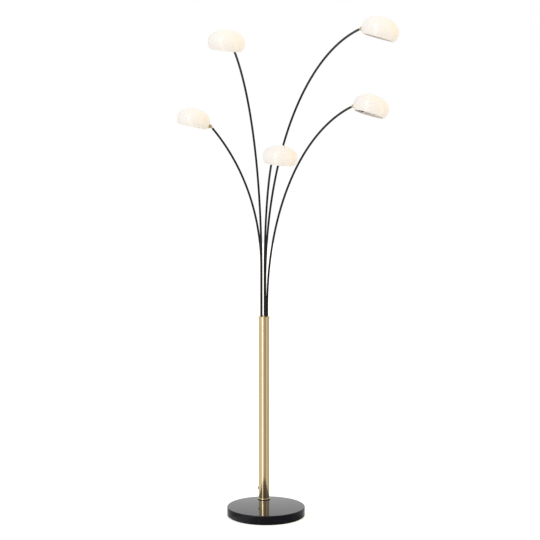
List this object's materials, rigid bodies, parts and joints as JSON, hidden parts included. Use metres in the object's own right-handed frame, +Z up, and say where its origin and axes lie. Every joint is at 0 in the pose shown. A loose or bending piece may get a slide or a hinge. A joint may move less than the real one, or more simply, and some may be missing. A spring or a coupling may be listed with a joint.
{
  "type": "tree floor lamp",
  "caption": "Floor lamp with a round stone foot, a slim brass pole and curved black arms that spread from its head, each with a domed opal glass shade on a ball joint.",
  "frame": {"origin": "centre of the round foot's underside, on the floor", "axes": "+Z up along the pole, -Y towards the viewer and the side the arms lean to, +X to the viewer's right"},
  "size_m": [0.7721, 0.9043, 1.8497],
  "materials": {
    "marble": "polished",
    "felt": "matt",
    "zinc_steel": "satin",
    "black_rubber": "matt",
    "brass": "satin",
    "white_plastic": "matt",
    "cast_alloy": "satin",
    "fibre": "matt",
    "black_paint": "satin",
    "lead_sleeve": "matt",
    "brown_plastic": "satin",
    "bulb_glass": "clear",
    "opal_glass": "opal, glossy"
  },
  "bodies": {
    "stand": {"marble_base": "marble", "base_pad": "felt", "base_washer": "zinc_steel", "base_nut": "zinc_steel", "foot_gasket": "black_rubber", "foot_flange": "brass", "tie_rod": "zinc_steel", "pole_tube": "brass", "cable_grommet": "black_rubber", "terminal_block": "white_plastic", "head_block": "cast_alloy", "friction_washers": "fibre", "pole_cap": "brass", "cap_screw": "brass"},
    "arm_left_low": {"arm_tube_left_low": "black_paint", "ball_stud_left_low": "brass", "arm_lead_left_low": "lead_sleeve"},
    "knuckle_left_low": {"knuckle_cup_left_low": "brass", "nipple_left_low": "zinc_steel", "glass_washers_left_low": "black_rubber", "lampholder_left_low": "brown_plastic", "bulb_left_low": "bulb_glass"},
    "shade_left_low": {"glass_shade_left_low": "opal_glass"},
    "arm_left_high": {"arm_tube_left_high": "black_paint", "ball_stud_left_high": "brass", "arm_lead_left_high": "lead_sleeve"},
    "knuckle_left_high": {"knuckle_cup_left_high": "brass", "nipple_left_high": "zinc_steel", "glass_washers_left_high": "black_rubber", "lampholder_left_high": "brown_plastic", "bulb_left_high": "bulb_glass"},
    "shade_left_high": {"glass_shade_left_high": "opal_glass"},
    "arm_right_high": {"arm_tube_right_high": "black_paint", "ball_stud_right_high": "brass", "arm_lead_right_high": "lead_sleeve"},
    "knuckle_right_high": {"knuckle_cup_right_high": "brass", "nipple_right_high": "zinc_steel", "glass_washers_right_high": "black_rubber", "lampholder_right_high": "brown_plastic", "bulb_right_high": "bulb_glass"},
    "shade_right_high": {"glass_shade_right_high": "opal_glass"},
    "arm_right_low": {"arm_tube_right_low": "black_paint", "ball_stud_right_low": "brass", "arm_lead_right_low": "lead_sleeve"},
    "knuckle_right_low": {"knuckle_cup_right_low": "brass", "nipple_right_low": "zinc_steel", "glass_washers_right_low": "black_rubber", "lampholder_right_low": "brown_plastic", "bulb_right_low": "bulb_glass"},
    "shade_right_low": {"glass_shade_right_low": "opal_glass"},
    "arm_middle": {"arm_tube_middle": "black_paint", "ball_stud_middle": "brass", "arm_lead_middle": "lead_sleeve"},
    "knuckle_middle": {"knuckle_cup_middle": "brass", "nipple_middle": "zinc_steel", "glass_washers_middle": "black_rubber", "lampholder_middle": "brown_plastic", "bulb_middle": "bulb_glass"},
    "shade_middle": {"glass_shade_middle": "opal_glass"}
  },
  "joints": [
    {"name": "swivel_left_low", "type": "hinge", "parent": "stand", "child": "arm_left_low", "pos_m": [-0.01891, 0.1113, 0.74], "axis": [0, 0, 1], "range_deg": [-45, 10]},
    {"name": "tilt_left_low", "type": "hinge", "parent": "arm_left_low", "child": "knuckle_left_low", "pos_m": [-0.2066, -0.01964, 1.49533], "axis": [-0.0508, -0.8475, -0.5284], "range_deg": [-41.4, 16.5]},
    {"name": "roll_left_low", "type": "hinge", "parent": "knuckle_left_low", "child": "shade_left_low", "pos_m": [-0.2066, -0.01964, 1.49533], "axis": [-0.9733, -0.0766, 0.2164], "range_deg": [-40, 40]},
    {"name": "swivel_left_high", "type": "hinge", "parent": "stand", "child": "arm_left_high", "pos_m": [-0.01736, 0.09657, 0.74], "axis": [0, 0, 1], "range_deg": [-10, 8]},
    {"name": "tilt_left_high", "type": "hinge", "parent": "arm_left_high", "child": "knuckle_left_high", "pos_m": [-0.11568, -0.47863, 1.7701], "axis": [0.962, -0.2244, -0.1556], "range_deg": [-26.6, 31.3]},
    {"name": "roll_left_high", "type": "hinge", "parent": "knuckle_left_high", "child": "shade_left_high", "pos_m": [-0.11568, -0.47863, 1.7701], "axis": [-0.2408, -0.9658, -0.0958], "range_deg": [-40, 40]},
    {"name": "swivel_right_high", "type": "hinge", "parent": "stand", "child": "arm_right_high", "pos_m": [-0.00288, 0.09349, 0.74], "axis": [0, 0, 1], "range_deg": [-2, 8]},
    {"name": "tilt_right_high", "type": "hinge", "parent": "arm_right_high", "child": "knuckle_right_high", "pos_m": [0.31485, -0.65866, 1.81183], "axis": [0.4223, 0.3069, 0.8529], "range_deg": [-43.9, 14]},
    {"name": "roll_right_high", "type": "hinge", "parent": "knuckle_right_high", "child": "shade_right_high", "pos_m": [0.31485, -0.65866, 1.81183], "axis": [0.8468, -0.4694, -0.2504], "range_deg": [-40, 40]},
    {"name": "swivel_right_low", "type": "hinge", "parent": "stand", "child": "arm_right_low", "pos_m": [0.00453, 0.10632, 0.74], "axis": [0, 0, 1], "range_deg": [-2, 45]},
    {"name": "tilt_right_low", "type": "hinge", "parent": "arm_right_low", "child": "knuckle_right_low", "pos_m": [0.30402, -0.42088, 1.56367], "axis": [0.4857, 0.4858, 0.7267], "range_deg": [-38.3, 19.6]},
    {"name": "roll_right_low", "type": "hinge", "parent": "knuckle_right_low", "child": "shade_right_low", "pos_m": [0.30402, -0.42088, 1.56367], "axis": [0.8295, -0.5183, -0.2079], "range_deg": [-40, 40]},
    {"name": "swivel_middle", "type": "hinge", "parent": "stand", "child": "arm_middle", "pos_m": [-0.00538, 0.11732, 0.74], "axis": [0, 0, 1], "range_deg": [-8, 2]},
    {"name": "tilt_middle", "type": "hinge", "parent": "arm_middle", "child": "knuckle_middle", "pos_m": [0.02495, -0.15741, 1.38012], "axis": [0.8606, 0.3114, 0.4029], "range_deg": [-37.4, 20.5]},
    {"name": "roll_middle", "type": "hinge", "parent": "knuckle_middle", "child": "shade_middle", "pos_m": [0.02495, -0.15741, 1.38012], "axis": [0.3807, -0.919, -0.1028], "range_deg": [-40, 40]}
  ]
}
